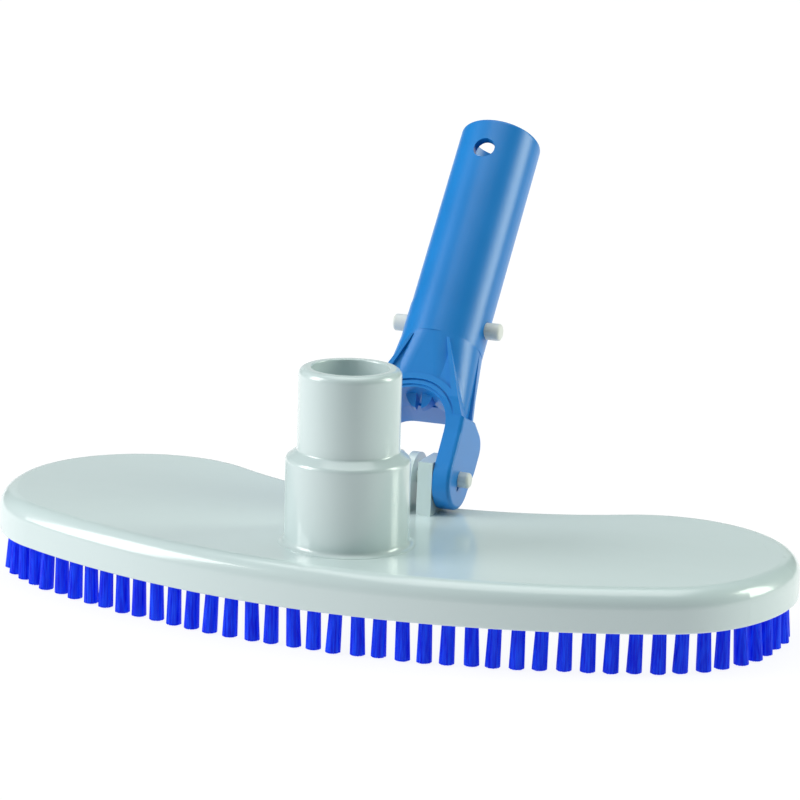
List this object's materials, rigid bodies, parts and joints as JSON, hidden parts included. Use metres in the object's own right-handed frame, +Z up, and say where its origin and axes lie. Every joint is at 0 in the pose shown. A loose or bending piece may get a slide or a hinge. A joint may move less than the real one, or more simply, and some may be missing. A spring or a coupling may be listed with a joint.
{
  "type": "pool vacuum brush head",
  "caption": "Kidney-shaped suction head with a ring of bristle tufts, an upright stepped hose cuff and a swivelling fork handle for a telescopic pole.",
  "frame": {"origin": "on the floor plane at the bristle tips, below the middle of the whole bounding box", "axes": "+X along the head, -Y towards its bulging front with the hose cuff, +Z up along the hose cuff"},
  "size_m": [0.278, 0.1844, 0.1501],
  "materials": {
    "white_abs": "gloss",
    "blue_bristle": "matte",
    "blue_plastic": "satin",
    "white_nylon": "satin"
  },
  "bodies": {
    "head": {"head_body": "white_abs", "body_plate": "white_abs", "chamber_ribs": "white_abs", "hose_cuff": "white_abs", "hinge_lugs": "white_abs", "bristle_strip_01": "blue_bristle", "bristle_strip_02": "blue_bristle", "bristle_strip_03": "blue_bristle", "bristle_strip_04": "blue_bristle", "bristle_strip_05": "blue_bristle", "bristle_strip_06": "blue_bristle", "bristle_strip_07": "blue_bristle", "bristle_strip_08": "blue_bristle", "bristle_strip_09": "blue_bristle", "bristle_strip_10": "blue_bristle", "bristle_strip_11": "blue_bristle", "bristle_strip_12": "blue_bristle", "bristle_strip_13": "blue_bristle", "bristle_strip_14": "blue_bristle", "bristle_strip_15": "blue_bristle", "bristle_strip_16": "blue_bristle", "bristle_strip_17": "blue_bristle", "bristle_strip_18": "blue_bristle", "bristle_strip_19": "blue_bristle", "bristle_strip_20": "blue_bristle", "bristle_strip_21": "blue_bristle", "bristle_strip_22": "blue_bristle", "bristle_strip_23": "blue_bristle", "hinge_pin": "white_nylon"},
    "handle_body": {"handle": "blue_plastic", "clip_spring": "white_nylon"},
    "button_left": {"clip_button_left": "white_nylon"},
    "button_right": {"clip_button_right": "white_nylon"}
  },
  "joints": [
    {"name": "handle_tilt", "type": "hinge", "parent": "head", "child": "handle_body", "pos_m": [0, -0.00407, 0.0389], "axis": [1, 0, 0], "range_deg": [-40, 60]},
    {"name": "button_left_press", "type": "slide", "parent": "handle_body", "child": "button_left", "axis": [1, 0, 0], "range_m": [0, 0.0052], "stiffness_N_per_m": 800, "springref_m": -0.002, "deforming": ["clip_spring"]},
    {"name": "button_right_press", "type": "slide", "parent": "handle_body", "child": "button_right", "axis": [-1, 0, 0], "range_m": [0, 0.0052], "stiffness_N_per_m": 800, "springref_m": -0.002, "deforming": ["clip_spring"]}
  ]
}
